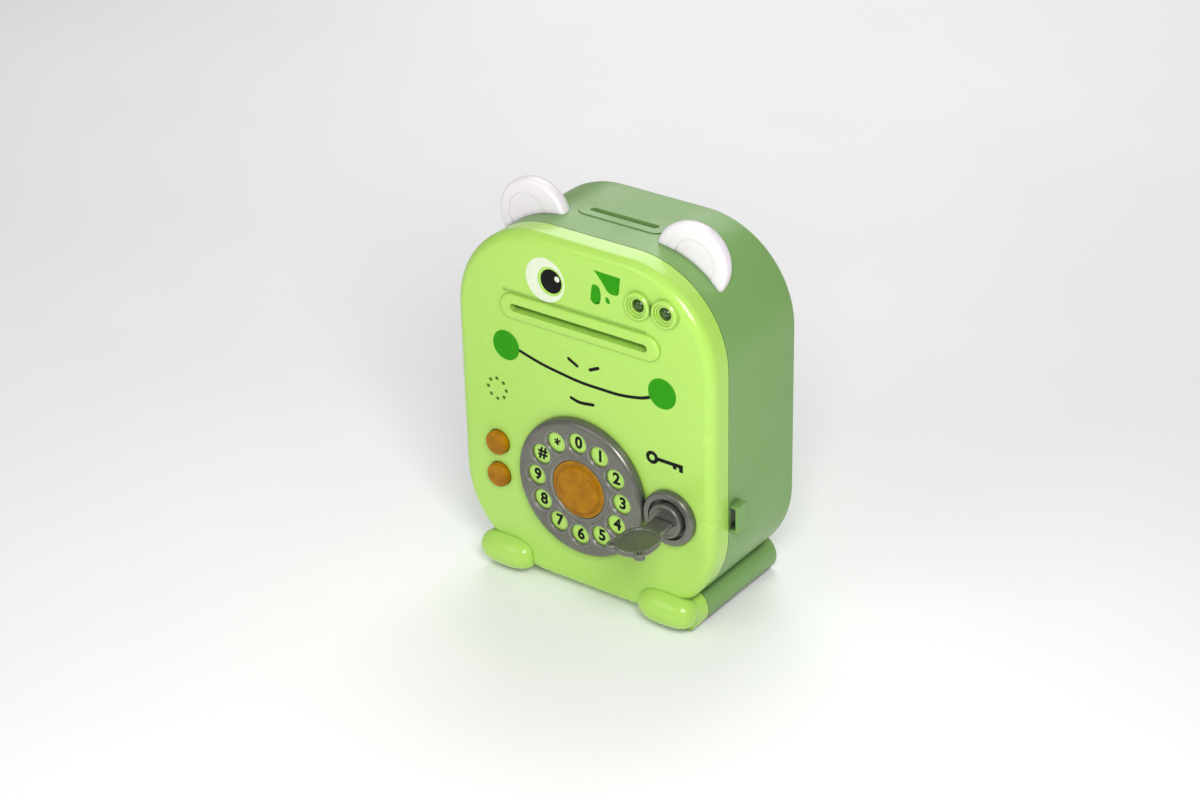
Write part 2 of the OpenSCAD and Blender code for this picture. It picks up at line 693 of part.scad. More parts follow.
module feed_frame() color(lime) difference() {
    union() {
        block([-plate_x - plate_t, inner_y + 0.1, note_z - 4.4],
              [plate_x + plate_t, seam_y + 1, note_z + 4.4]);
        block([-56, seam_y + 0.2, 151], [56, seam_y + 2.2, 192]);
        block([-plate_x - plate_t, seam_y + 1, 155], [-plate_x, feed_back, 182]);
        block([plate_x, seam_y + 1, 155], [plate_x + plate_t, feed_back, 196]);
        for (z = [155, 169.5]) block([-plate_x - 1, feed_back - 2.5, z], [plate_x + 1, feed_back, z + 2.5]);
    }
    block([-plate_x, inner_y - 1, note_z - 2.8], [plate_x, seam_y + 3, note_z + 2.8]);
    for (z = [upper_z, lower_z]) bar_x(feed_y, z, shaft_r + fit, -60, 60);
    bar_x(feed_y, motor_z, 3.3, plate_x - 1, 60);
    for (x = [-53, 53], z = [155, 188]) bar_y(x, z, 1.6, seam_y, seam_y + 4);
}

module feed_screws() color(steel)
    for (x = [-53, 53], z = [155, 188]) screw_from_rear(x, z, seam_y + 2.2, 6);

// The can has flat sides like small toy motors
module motor_can() color(steel) {
    intersection() {
        bar_x(feed_y, motor_z, 10, motor_x, plate_x);
        block([motor_x - 1, feed_y - 7.5, motor_z - 11], [plate_x, feed_y + 7.5, motor_z + 11]);
    }
    difference() {
        bar_x(feed_y, motor_z, 3.2, plate_x - sink, plate_x + plate_t);
        bar_x(feed_y, motor_z, 1 + fit, plate_x - 1, plate_x + 3);
    }
}

module motor_end_cap() color(ivory) {
    intersection() {
        bar_x(feed_y, motor_z, 9.6, motor_x - 2.5, motor_x);
        block([motor_x - 3, feed_y - 7.2, motor_z - 11], [motor_x, feed_y + 7.2, motor_z + 11]);
    }
    bar_x(feed_y, motor_z, 3, motor_x - 4, motor_x - 2);
}

module motor_pinion() color(ivory) {
    spur_gear(feed_y, motor_z, plate_x + plate_t + 1, pinion_teeth, gear_t, 1, 180 / pinion_teeth);
    color(steel) bar_x(feed_y, motor_z, 1, plate_x + 0.2, plate_x + plate_t + gear_t + 1.4);
}

module feed_shaft(z, end) color(steel) bar_x(feed_y, z, shaft_r, -51.6, end);

module feed_rollers(z) color(black) for (x = [-roller_x, roller_x]) difference() {
    bar_x(feed_y, z, roller_r, x - 5, x + 5);
    bar_x(feed_y, z, shaft_r, x - 6, x + 6);
    for (groove = [-2.5, 0, 2.5]) translate([x + groove, feed_y, z]) rotate([0, 90, 0])
        rotate_extrude() translate([roller_r + 0.1, 0]) circle(0.5);
}

module upper_shaft() feed_shaft(upper_z, 51.6);

module lower_shaft() feed_shaft(lower_z, plate_x + plate_t + 0.5);

module upper_rollers() feed_rollers(upper_z);

module lower_rollers() feed_rollers(lower_z);

module drive_gear() color(ivory)
    spur_gear(feed_y, upper_z, plate_x + plate_t + 1, drive_teeth, gear_t, shaft_r);

module upper_sync_gear() color(ivory)
    spur_gear(feed_y, upper_z, -plate_x - plate_t - gear_t - 1, sync_teeth, gear_t, shaft_r);

module lower_sync_gear() color(ivory)
    spur_gear(feed_y, lower_z, -plate_x - plate_t - gear_t - 1, sync_teeth, gear_t, shaft_r);

// ---- batteries ----

module battery_tray() color(black) {
    difference() {
        block([tray[0], tray_y, tray[1]], [tray[0] + tray[2], tray_y + tray_depth, tray[1] + tray[3]]);
        block([tray[0] + tray_wall, tray_y + tray_wall, tray[1] + tray_wall],
              [tray[0] + tray[2] - tray_wall, tray_y + tray_depth + 1, tray[1] + tray[3] - tray_wall]);
    }
    difference() {
        block([cover_screw_x - 2.6, tray_y + 14.8, tray[1] + 1],
              [cover_screw_x + 2.6, tray_y + tray_depth, cover_screw_z + 2.6]);
        bar_y(cover_screw_x, cover_screw_z, screw_r, tray_y + 14, tray_y + tray_depth + 1);
    }
}

function cell_x(k) = tray[0] + tray[2] / 2 + (k - 1) * cell_pitch;

module battery_cells() color("#3c6fa8") for (k = [0 : 2]) {
    translate([cell_x(k), cell_y, tray[1] + 4]) cylinder(r = cell_r, h = 47.5);
    translate([cell_x(k), cell_y, tray[1] + 51]) cylinder(r = 2.7, h = 1.8);
}

module battery_contacts() color(steel) for (k = [0 : 2]) {
    translate([cell_x(k), cell_y, tray[1] + tray_wall]) cylinder(r1 = 4.5, r2 = 3, h = 4 - tray_wall);
    block([cell_x(k) - 5, cell_y - 5, tray[1] + 52.8],
          [cell_x(k) + 5, cell_y + 5, tray[1] + tray[3] - tray_wall]);
}

module battery_cover() color(lime) difference() {
    union() {
        front_extrude(tray_y + tray_depth, tray_y + tray_depth + 1.8)
            translate([tray[0] + tray[2] / 2, tray[1] + tray[3] / 2])
                rounded_rect(tray[2] + 2, tray[3] + 2, 3);
        for (k = [0 : 5]) block([tray[0] + 10, tray_y + tray_depth + 1, tray[1] + 34 + 3 * k],
            [tray[0] + tray[2] - 10, tray_y + tray_depth + 2.4, tray[1] + 35 + 3 * k]);
    }
    bar_y(cover_screw_x, cover_screw_z, 1.6, tray_y, tray_y + 30);
}

module battery_cover_screw() color(steel)
    screw_from_rear(cover_screw_x, cover_screw_z, tray_y + tray_depth + 1.8, 4);

case_shell();
rear_cover();
rear_cover_screws();
ear_left();
ear_right();
hinge_pins();
lock_strike();
door_panel();
front_foot_left();
front_foot_right();
door_back_cover();
cover_screws();
dial_sleeve();
sleeve_clip();
indicator_lenses();
indicator_leds();
indicator_board();
speaker_basket();
speaker_cone();
speaker_magnet();
main_board();
board_components();
tactile_switches();
board_screws();
lock_housing();
lock_nut();
feed_frame();
feed_screws();
motor_can();
motor_end_cap();
battery_tray();
battery_contacts();
battery_cells();
battery_cover();
battery_cover_screw();
upper_button_spring();
lower_button_spring();
centre_button_spring();
dial_ring();
centre_button();
upper_button();
lower_button();
lock_plug();
lock_cam();
cam_screw();
door_key();
upper_shaft();
upper_rollers();
drive_gear();
upper_sync_gear();
lower_shaft();
lower_rollers();
lower_sync_gear();
motor_pinion();
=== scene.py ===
import math

import bmesh
import bpy
from mathutils import Matrix, Vector


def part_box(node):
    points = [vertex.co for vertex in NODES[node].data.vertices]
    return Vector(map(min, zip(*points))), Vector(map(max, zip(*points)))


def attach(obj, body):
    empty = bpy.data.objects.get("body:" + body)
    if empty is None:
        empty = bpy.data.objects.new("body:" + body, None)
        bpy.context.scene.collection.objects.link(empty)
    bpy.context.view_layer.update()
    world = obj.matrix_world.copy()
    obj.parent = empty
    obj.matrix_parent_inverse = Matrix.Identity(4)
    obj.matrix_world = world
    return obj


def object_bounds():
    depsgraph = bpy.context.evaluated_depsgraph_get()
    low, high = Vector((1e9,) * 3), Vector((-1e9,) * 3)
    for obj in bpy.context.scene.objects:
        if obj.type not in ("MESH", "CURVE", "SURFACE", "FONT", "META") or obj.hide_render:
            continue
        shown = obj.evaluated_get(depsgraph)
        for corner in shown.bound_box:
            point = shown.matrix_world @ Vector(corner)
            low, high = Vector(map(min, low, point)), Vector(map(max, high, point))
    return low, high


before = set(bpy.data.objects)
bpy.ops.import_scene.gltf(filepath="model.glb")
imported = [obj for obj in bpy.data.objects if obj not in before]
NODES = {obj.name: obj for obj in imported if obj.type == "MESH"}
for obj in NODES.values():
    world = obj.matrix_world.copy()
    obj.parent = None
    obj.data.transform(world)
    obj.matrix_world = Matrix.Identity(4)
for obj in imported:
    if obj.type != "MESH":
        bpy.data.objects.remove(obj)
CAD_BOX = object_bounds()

MM = 0.001

INK = 0.05 * MM                     # thickness of one layer of printing ink
FIGURE_HEIGHT = 6.7 * MM            # of the dial's figures
CAP_HEIGHT = 0.72                   # of the built-in font at size 1
HALF_EXTRUSION = 0.01               # of the text, before it is scaled to the ink's thickness
CURVE_STEPS = 10                    # between two points of a curve
CORNER_STEPS = 6                    # around a rounded corner
CAP_STEPS = 8                       # around a stroke's end
FLOOR_GAP = 0.05 * MM               # keeps the floor clear of the rails
FLOOR_HALF_WIDTH = 6.0

CAMERA_PLACE = (0.7514, -1.00865, 0.7994)
CAMERA_AZIMUTH = math.radians(36.766)
CAMERA_TILT = math.radians(28.588)
CAMERA_ROLL = math.radians(-1.410)
LIGHT_AIM = Vector((0, 0, 0.14))

# ---- places taken from the CAD model ----

# The lock's housing reaches 10.4 mm behind the door's flat face.
FACE_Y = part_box("lock_housing")[1].y - 10.4 * MM


def centre_xz(node):
    """The middle of a node's box in front view, in metres."""
    low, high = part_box(node)
    return (low.x + high.x) / 2, (low.z + high.z) / 2


DIAL_X, DIAL_Z = centre_xz("dial_ring")
HOLE_CIRCLE = 28 * MM
PLATEAU_Y = FACE_Y - 3.6 * MM       # the raised ring that carries the dial's figures


# ---- node materials ----

def linear(code):
    """An sRGB colour code as linear red, green, blue and alpha."""
    channels = []
    for start in (1, 3, 5):
        value = int(code[start:start + 2], 16) / 255
        channels.append(value / 12.92 if value <= 0.04045 else ((value + 0.055) / 1.055) ** 2.4)
    return (*channels, 1.0)


class Finish:
    """A Principled material, with short names for the nodes that give it its detail."""

    def __init__(self, name, roughness, metallic=0.0):
        self.material = bpy.data.materials.new(name)
        self.material.use_nodes = True
        self.tree = self.material.node_tree
        self.shader = self.tree.nodes["Principled BSDF"]
        self.shader.inputs["Roughness"].default_value = roughness
        self.shader.inputs["Metallic"].default_value = metallic
        self.roughness = roughness
        self.coords = self.add("ShaderNodeTexCoord").outputs["Object"]
        self.normal = None

    def add(self, kind, **settings):
        node = self.tree.nodes.new(kind)
        for key, value in settings.items():
            setattr(node, key, value)
        return node

    def feed(self, socket, value):
        """Links value to socket if it is an output, or else sets it there."""
        if hasattr(value, "links"):
            self.tree.links.new(value, socket)
        else:
            socket.default_value = value

    def set(self, **values):
        for key, value in values.items():
            self.shader.inputs[key.replace("_", " ")].default_value = value

    def place(self, stretch=(1, 1, 1), shift=(0, 0, 0)):
        node = self.add("ShaderNodeMapping")
        self.feed(node.inputs["Vector"], self.coords)
        node.inputs["Scale"].default_value = stretch
        node.inputs["Location"].default_value = shift
        return node.outputs["Vector"]

    def noise(self, scale, detail=3.0, rough=0.55, stretch=(1, 1, 1)):
        node = self.add("ShaderNodeTexNoise")
        self.feed(node.inputs["Vector"], self.place(stretch))
        node.inputs["Scale"].default_value = scale
        node.inputs["Detail"].default_value = detail
        node.inputs["Roughness"].default_value = rough
        return node.outputs["Fac"]

    def cells(self, scale, stretch=(1, 1, 1), feature="F1"):
        node = self.add("ShaderNodeTexVoronoi", feature=feature)
        self.feed(node.inputs["Vector"], self.place(stretch))
        node.inputs["Scale"].default_value = scale
        return node.outputs["Distance"]

    def rings(self, spacing, x, z):
        """Evenly spaced rings around the point (x, z) in front view."""
        node = self.add("ShaderNodeTexWave", wave_type="RINGS", rings_direction="Y")
        self.feed(node.inputs["Vector"], self.place(shift=(-x, 0, -z)))
        node.inputs["Scale"].default_value = math.pi / (10 * spacing)
        return node.outputs["Fac"]

    def painted_hollow_shade(self, reach, darkest):
        """Painted shade: a factor that falls from 1 on open faces to darkest in slots and seams, from
        ambient occlusion.
        """
        node = self.add("ShaderNodeAmbientOcclusion", samples=8)
        node.inputs["Distance"].default_value = reach
        return self.remap(node.outputs["AO"], 0.15, 0.75, darkest, 1.0)

    def remap(self, value, low, high, to_low=0.0, to_high=1.0):
        node = self.add("ShaderNodeMapRange")
        self.feed(node.inputs["Value"], value)
        node.inputs["From Min"].default_value = low
        node.inputs["From Max"].default_value = high
        node.inputs["To Min"].default_value = to_low
        node.inputs["To Max"].default_value = to_high
        return node.outputs["Result"]

    def math(self, operation, a, b=0.0):
        node = self.add("ShaderNodeMath", operation=operation)
        self.feed(node.inputs[0], a)
        self.feed(node.inputs[1], b)
        return node.outputs["Value"]

    def mix(self, factor, a, b):
        node = self.add("ShaderNodeMix", data_type="RGBA")
        self.feed(node.inputs["Factor"], factor)
        self.feed(node.inputs["A"], a)
        self.feed(node.inputs["B"], b)
        return node.outputs["Result"]

    def axis(self, name):
        node = self.add("ShaderNodeSeparateXYZ")
        self.feed(node.inputs["Vector"], self.coords)
        return node.outputs[name]

    def colour(self, value, shade=None):
        """Sets the base colour, multiplied by shade where one is given."""
        if shade:
            value = self.mix(shade, linear("#000000"), value)
        self.feed(self.shader.inputs["Base Color"], value)

    def vary_roughness(self, factor, change):
        self.feed(self.shader.inputs["Roughness"],
                  self.remap(factor, 0.3, 0.7, self.roughness - change, self.roughness + change))

    def round_edges(self, radius):
        """Shades the sharp CAD edges as if they had this radius, and returns an edge mask."""
        bevel = self.add("ShaderNodeBevel", samples=4)
        bevel.inputs["Radius"].default_value = radius
        self.normal = bevel.outputs["Normal"]
        geometry = self.add("ShaderNodeNewGeometry")
        dot = self.add("ShaderNodeVectorMath", operation="DOT_PRODUCT")
        self.feed(dot.inputs[0], bevel.outputs["Normal"])
        self.feed(dot.inputs[1], geometry.outputs["Normal"])
        self.feed(self.shader.inputs["Normal"], self.normal)
        return self.remap(dot.outputs["Value"], 0.995, 0.93)

    def bump(self, height, depth, strength=1.0):
        node = self.add("ShaderNodeBump")
        node.inputs["Strength"].default_value = strength
        node.inputs["Distance"].default_value = depth
        self.feed(node.inputs["Height"], height)
        if self.normal:
            self.feed(node.inputs["Normal"], self.normal)
        self.normal = node.outputs["Normal"]
        self.feed(self.shader.inputs["Normal"], self.normal)


def moulded(name, colour, deep, roughness, grain=0.02, wear=0.25, reach=5, darkest=0.3, **shader):
    """Injection-moulded plastic: flow mottling, fine skin, hairline scratches, paler worn edges and painted
    shade in slots and seams.
    """
    f = Finish(name, roughness)
    edge_wear_and_highlight = f.round_edges(0.35 * MM)
    base = f.mix(f.remap(f.noise(14, 4), 0.3, 0.7, 0.0, 0.55), linear(colour), linear(deep))
    speck = f.remap(f.noise(900, 2), 0.62, 0.75, 0.0, 0.12)
    base = f.mix(speck, base, linear(deep))
    pale = tuple(min(1, c * 1.25 + 0.02) for c in linear(colour)[:3]) + (1.0,)
    broken = f.remap(f.noise(160, 3), 0.4, 0.65, 0.0, wear)
    base = f.mix(f.math("MULTIPLY", edge_wear_and_highlight, broken), base, pale)
    # Painted shade: the colour darkens in slots, seams and hollows, where ambient occlusion finds them.
    f.colour(base, f.painted_hollow_shade(reach * MM, darkest))
    scratch = f.remap(f.noise(60, 2, 0.4, (1, 3, 14)), 0.6, 0.8, 0.0, 0.1)
    f.vary_roughness(f.math("ADD", f.noise(45, 4), scratch), 0.07)
    f.bump(f.noise(1500, 2), grain * MM)
    f.bump(f.noise(38, 2), 0.12 * MM, 0.35)
    f.set(**shader)
    return f


def lime_plastic():
    f = moulded("lime_plastic", "#b6e268", "#a9d858", 0.22, grain=0.012, IOR=1.5, Specular_IOR_Level=0.35)
    f.set(Coat_Weight=0.2, Coat_Roughness=0.08, Subsurface_Weight=0.06, Subsurface_Scale=0.003)
    return f.material


def sage_plastic():
    # Painted shade reaches deep here and turns the coin slot and seams nearly black.
    f = moulded("sage_plastic", "#82ab64", "#78a35a", 0.36, grain=0.03, reach=9, darkest=0.02,
                IOR=1.5, Specular_IOR_Level=0.35)
    return f.material


def white_plastic():
    f = moulded("white_plastic", "#f8f1f7", "#f0e8f0", 0.3, grain=0.02, IOR=1.5)
    f.set(Subsurface_Weight=0.1, Subsurface_Scale=0.003)
    return f.material


def gunmetal_plastic():
    """Dark plated plastic, with a painted highlight along its edges and painted shade in its hollows."""
    f = Finish("gunmetal_plastic", 0.32, metallic=0.55)
    edge_wear_and_highlight = f.round_edges(0.6 * MM)
    base = f.mix(f.remap(f.noise(40, 4), 0.3, 0.7), linear("#7b7b74"), linear("#686861"))
    cloudy = f.remap(f.noise(220, 3), 0.35, 0.7, 0.35, 1.0)
    # Painted highlight: the edges are lightened towards a pale grey in cloudy patches.
    base = f.mix(f.math("MULTIPLY", edge_wear_and_highlight, cloudy), base, linear("#dcdbd5"))
    # Painted shade in slots and hollows.
    f.colour(base, f.painted_hollow_shade(3 * MM, 0.15))
    scratch = f.remap(f.noise(90, 2, 0.5, (1, 2, 22)), 0.62, 0.68, 0.0, 0.2)
    f.vary_roughness(f.math("ADD", f.noise(70, 4), scratch), 0.08)
    f.bump(f.noise(1300, 2), 0.015 * MM)
    return f.material


def amber_plastic(node):
    """Tinted clear plastic with moulding rings around the button's middle, wavy facets, a painted highlight
    along its edges and painted shade in its hollows.
    """
    f = Finish("amber_" + node, 0.16)
    edge_wear_and_highlight = f.round_edges(0.5 * MM)
    base = f.mix(f.remap(f.noise(150, 4), 0.35, 0.65), linear("#b07600"), linear("#925c00"))
    rings = f.rings(1.6 * MM, *centre_xz(node))
    base = f.mix(f.math("MULTIPLY", rings, 0.25), base, linear("#c99312"))
    # Painted highlight: the edges are lightened to a pale yellow.
    base = f.mix(f.math("MULTIPLY", edge_wear_and_highlight, 0.75), base, linear("#f5cf52"))
    # Painted shade in slots and hollows.
    f.colour(base, f.painted_hollow_shade(2.5 * MM, 0.2))
    f.vary_roughness(f.noise(120, 3), 0.05)
    f.bump(f.cells(330, (1, 0.2, 1.4)), 0.12 * MM, 0.4)
    f.bump(rings, 0.05 * MM, 0.5)
    f.set(IOR=1.45, Specular_IOR_Level=0.15, Coat_Weight=0.06, Coat_Roughness=0.06)
    return f.material


def lens_plastic():
    f = Finish("lens_plastic", 0.08)
    f.colour(f.mix(f.remap(f.noise(400, 3), 0.35, 0.65), linear("#3f6b1c"), linear("#2c4b14")))
    f.vary_roughness(f.noise(500, 3), 0.03)
    f.bump(f.noise(700, 2), 0.01 * MM)
    f.set(Transmission_Weight=0.3, IOR=1.49, Coat_Weight=0.5)
    return f.material


def black_plastic():
    f = moulded("black_plastic", "#2a2b2e", "#1c1d1f", 0.42, grain=0.05, wear=0.5)
    return f.material


def steel():
    """Zinc-plated steel with drawn grain and a dull yellow bloom."""
    f = Finish("steel", 0.3, metallic=1.0)
    edge_wear_and_highlight = f.round_edges(0.25 * MM)
    base = f.mix(f.remap(f.noise(120, 4), 0.35, 0.7), linear("#bfc2c6"), linear("#9c9a90"))
    base = f.mix(f.math("MULTIPLY", edge_wear_and_highlight, 0.5), base, linear("#eceef0"))
    f.colour(base)
    f.vary_roughness(f.noise(260, 3, 0.6, (1, 8, 1)), 0.1)
    f.bump(f.noise(900, 2, 0.5, (1, 12, 1)), 0.01 * MM)
    return f.material


def ferrite():
    f = Finish("ferrite", 0.6)
    f.round_edges(0.3 * MM)
    f.colour(f.mix(f.remap(f.noise(700, 4), 0.3, 0.7), linear("#4a4947"), linear("#2f2e2d")))
    f.vary_roughness(f.noise(300, 3), 0.1)
    f.bump(f.noise(1800, 3), 0.06 * MM)
    return f.material


def circuit_board():
    """Solder mask over copper tracks, with tinned pads."""
    f = Finish("circuit_board", 0.35)
    tracks = f.remap(f.cells(240, (1, 1, 1), "DISTANCE_TO_EDGE"), 0.05, 0.07, 1.0, 0.0)
    mask = f.mix(f.remap(f.noise(300, 3), 0.3, 0.7), linear("#1d6a3a"), linear("#15532c"))
    f.colour(f.mix(f.math("MULTIPLY", tracks, 0.55), mask, linear("#57b070")))
    f.vary_roughness(f.noise(500, 3), 0.08)
    f.bump(tracks, 0.03 * MM)
    return f.material


def roller_rubber():
    f = Finish("roller_rubber", 0.72)
    f.round_edges(0.3 * MM)
    f.colour(f.mix(f.remap(f.noise(350, 4), 0.35, 0.7), linear("#232324"), linear("#39383a")))
    f.vary_roughness(f.noise(220, 3), 0.1)
    f.bump(f.noise(1500, 3), 0.07 * MM)
    return f.material


def cell_jacket():
    """A battery's printed film: a plain dark sleeve with a copper-coloured top band."""
    f = Finish("cell_jacket", 0.28)
    f.round_edges(0.4 * MM)
    top = f.remap(f.axis("Z"), 0.0505, 0.0507)
    sleeve = f.mix(f.remap(f.noise(180, 3), 0.3, 0.7), linear("#2c5f93"), linear("#244f7c"))
    copper = f.mix(f.remap(f.noise(260, 3), 0.3, 0.7), linear("#c58248"), linear("#a96c3a"))
    f.colour(f.mix(top, sleeve, copper))
    f.vary_roughness(f.noise(300, 3), 0.06)
    f.bump(f.noise(600, 2), 0.02 * MM)
    return f.material


def pad_print(name, colour, deep):
    """Printing ink: slightly uneven, and duller than the plastic under it."""
    f = Finish(name, 0.32)
    f.colour(f.mix(f.remap(f.noise(260, 4), 0.35, 0.7), linear(colour), linear(deep)))
    f.vary_roughness(f.noise(400, 3), 0.07)
    f.bump(f.noise(1700, 2), 0.01 * MM)
    f.set(Specular_IOR_Level=0.12)
    return f.material


def floor_paper():
    f = Finish("floor_paper", 0.85)
    f.colour(f.mix(f.remap(f.noise(3, 3), 0.3, 0.7), linear("#fbfbfb"), linear("#f6f6f6")))
    f.bump(f.noise(180, 3), 0.1 * MM, 0.4)
    f.set(Emission_Color=(1, 1, 1, 1), Emission_Strength=0.07)
    return f.material


LIME = lime_plastic()
SAGE = sage_plastic()
WHITE = white_plastic()
GUNMETAL = gunmetal_plastic()
LENS = lens_plastic()
BLACK = black_plastic()
STEEL = steel()
FERRITE = ferrite()
BOARD = circuit_board()
RUBBER = roller_rubber()
JACKET = cell_jacket()
INK_BLACK = pad_print("ink_black", "#0c0c0b", "#141412")
INK_GREEN = pad_print("ink_green", "#2f9c04", "#289003")
INK_WHITE = pad_print("ink_white", "#e6eed6", "#dfe8cc")

FINISH_OF = {
    LIME: ["door_panel", "front_foot_left", "front_foot_right", "door_back_cover", "battery_cover",
           "feed_frame"],
    SAGE: ["case_shell", "rear_cover"],
    WHITE: ["ear_left", "ear_right", "drive_gear", "upper_sync_gear", "lower_sync_gear", "motor_pinion",
            "motor_end_cap", "indicator_leds"],
    GUNMETAL: ["dial_ring", "dial_sleeve", "lock_housing", "lock_plug", "door_key"],
    amber_plastic("centre_button"): ["centre_button"],
    amber_plastic("upper_button"): ["upper_button"],
    amber_plastic("lower_button"): ["lower_button"],
    LENS: ["indicator_lenses"],
    BLACK: ["battery_tray", "board_components", "tactile_switches", "sleeve_clip", "speaker_cone"],
    STEEL: ["rear_cover_screws", "hinge_pins", "lock_strike", "cover_screws", "speaker_basket",
            "board_screws", "lock_nut", "feed_screws", "motor_can", "battery_contacts",
            "battery_cover_screw", "upper_button_spring", "lower_button_spring",
            "centre_button_spring", "lock_cam", "cam_screw", "upper_shaft", "lower_shaft"],
    FERRITE: ["speaker_magnet"],
    BOARD: ["main_board", "indicator_board"],
    RUBBER: ["upper_rollers", "lower_rollers"],
    JACKET: ["battery_cells"],
}


# ---- the CAD nodes keep their shape and get smooth shading and a finish ----

def shading_by_angle(limit):
    """A node group that joins loose facets and shades smooth all edges flatter than limit."""
    tree = bpy.data.node_groups.new("shading_by_angle", "GeometryNodeTree")
    tree.interface.new_socket("Geometry", in_out="INPUT", socket_type="NodeSocketGeometry")
    tree.interface.new_socket("Geometry", in_out="OUTPUT", socket_type="NodeSocketGeometry")
    start = tree.nodes.new("NodeGroupInput")
    end = tree.nodes.new("NodeGroupOutput")
    merge = tree.nodes.new("GeometryNodeMergeByDistance")
    merge.inputs["Distance"].default_value = 1e-6
    faces = tree.nodes.new("GeometryNodeSetShadeSmooth")
    faces.domain = "FACE"
    edges = tree.nodes.new("GeometryNodeSetShadeSmooth")
    edges.domain = "EDGE"
    angle = tree.nodes.new("GeometryNodeInputMeshEdgeAngle")
    flat = tree.nodes.new("FunctionNodeCompare")
    flat.operation = "LESS_THAN"
    flat.inputs["B"].default_value = limit
    link = tree.links.new
    link(start.outputs[0], merge.inputs["Geometry"])
    link(merge.outputs["Geometry"], faces.inputs["Geometry"])
    link(faces.outputs["Geometry"], edges.inputs["Geometry"])
    link(angle.outputs["Unsigned Angle"], flat.inputs["A"])
    link(flat.outputs["Result"], edges.inputs["Shade Smooth"])
    link(edges.outputs["Geometry"], end.inputs[0])
    return tree


SMOOTHING = shading_by_angle(math.radians(32))


def smooth(piece):
    modifier = piece.modifiers.new("shading_by_angle", "NODES")
    modifier.node_group = SMOOTHING


for material, names in FINISH_OF.items():
    for name in names:
        piece = NODES[name]
        piece.data.materials.clear()
        piece.data.materials.append(material)
        smooth(piece)


# ---- new pieces ----

def new_piece(name, mesh, material, body):
    piece = bpy.data.objects.new(name, mesh)
    bpy.context.scene.collection.objects.link(piece)
    mesh.materials.append(material)
    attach(piece, body)


def curve_points(points):
    """A smooth open curve through the given points."""
    ends = [points[0], *points, points[-1]]
    out = []
    for a, b, c, d in zip(ends, ends[1:], ends[2:], ends[3:]):
        for k in range(CURVE_STEPS):
            t = k / CURVE_STEPS
            out.append(tuple(
                0.5 * (2 * q + (r - p) * t + (2 * p - 5 * q + 4 * r - s) * t * t
                       + (3 * q - p - 3 * r + s) * t ** 3)
                for p, q, r, s in zip(a, b, c, d)))
    out.append(points[-1])
    return out


def rounded(corners):
    """A closed outline from (x, z, radius) corners, each cut by a smooth arc."""
    out = []
    for k, (x, z, r) in enumerate(corners):
        here = Vector((x, z))
        before = Vector(corners[k - 1][:2])
        after = Vector(corners[(k + 1) % len(corners)][:2])
        start = here + (before - here).normalized() * r
        end = here + (after - here).normalized() * r
        for j in range(CORNER_STEPS + 1):
            t = j / CORNER_STEPS
            p = start * (1 - t) ** 2 + here * 2 * t * (1 - t) + end * t * t
            out.append((p.x, p.y))
    return out


def disc(x, z, r, steps=96):
    return [(x + r * math.cos(2 * math.pi * k / steps), z + r * math.sin(2 * math.pi * k / steps))
            for k in range(steps)]


def stroke(points, width):
    """The closed outline of a pen stroke with round ends."""
    if len(points) > 2:
        points = curve_points(points)
    line = [Vector(p) for p in points]
    half = width / 2
    left, right = [], []
    for k, p in enumerate(line):
        along = (line[min(k + 1, len(line) - 1)] - line[max(k - 1, 0)]).normalized()
        side = Vector((-along.y, along.x)) * half
        left.append(p + side)
        right.append(p - side)

    def cap(centre, start):
        spoke = start - centre
        turn = -math.pi / CAP_STEPS
        return [centre + Matrix.Rotation(turn * j, 2) @ spoke for j in range(1, CAP_STEPS)]

    outline = left + cap(line[-1], left[-1]) + right[::-1] + cap(line[0], right[0])
    return [(p.x, p.y) for p in outline]


def plate(name, outline, front, back):
    """A thin plate from an outline in front view, in millimetres."""
    bm = bmesh.new()
    verts = [bm.verts.new((x * MM, back, z * MM)) for x, z in outline]
    face = bm.faces.new(verts)
    bm.normal_update()
    if face.normal.y > 0:
        face.normal_flip()
    made = bmesh.ops.extrude_face_region(bm, geom=[face])
    top = [g for g in made["geom"] if isinstance(g, bmesh.types.BMVert)]
    bmesh.ops.translate(bm, verts=top, vec=(0, front - back, 0))
    bmesh.ops.triangulate(bm, faces=[f for f in bm.faces if len(f.verts) > 4])
    bmesh.ops.recalc_face_normals(bm, faces=bm.faces)
    mesh = bpy.data.meshes.new(name)
    bm.to_mesh(mesh)
    bm.free()
    return mesh


def printed(name, outline, material, layer=1):
    """A pad-printed shape on the door. Each layer lies on the one under it."""
    mesh = plate(name, outline, FACE_Y - layer * INK, FACE_Y + INK)
    new_piece(name, mesh, material, "door")


# ---- the printed face ----

printed("print_eye_white", disc(-21.5, 186.7, 12.5), INK_WHITE, 1)
printed("print_eye_ring", disc(-18.1, 186.8, 8.2), LIME, 2)
printed("print_eye_pupil", disc(-17.5, 187.0, 6.8), INK_BLACK, 3)
printed("print_eye_glint", disc(-13.6, 189.2, 1.6, 32), INK_WHITE, 4)
printed("print_patch", rounded([(10, 200.9, 0.4), (26.6, 200.6, 0.5), (25.5, 190.2, 2), (19.0, 189.6, 3.5),
                                (14.6, 196.4, 5)]), INK_GREEN)
printed("print_patch_large_drop", rounded([(8.8, 193.0, 1.8), (13.2, 192.6, 2.0), (14.8, 186.4, 4),
                                           (12.6, 181.4, 2.6), (7.2, 182.2, 3.2)]), INK_GREEN)
printed("print_patch_small_drop", rounded([(17.0, 187.8, 1.1), (19.4, 187.2, 1.2), (20.0, 183.9, 1.3),
                                           (17.4, 184.2, 1.4)]), INK_GREEN)
printed("print_cheek_left", disc(-49.1, 140.9, 8.7), INK_GREEN, 2)
printed("print_cheek_right", disc(51.7, 141.8, 8.7), INK_GREEN, 2)
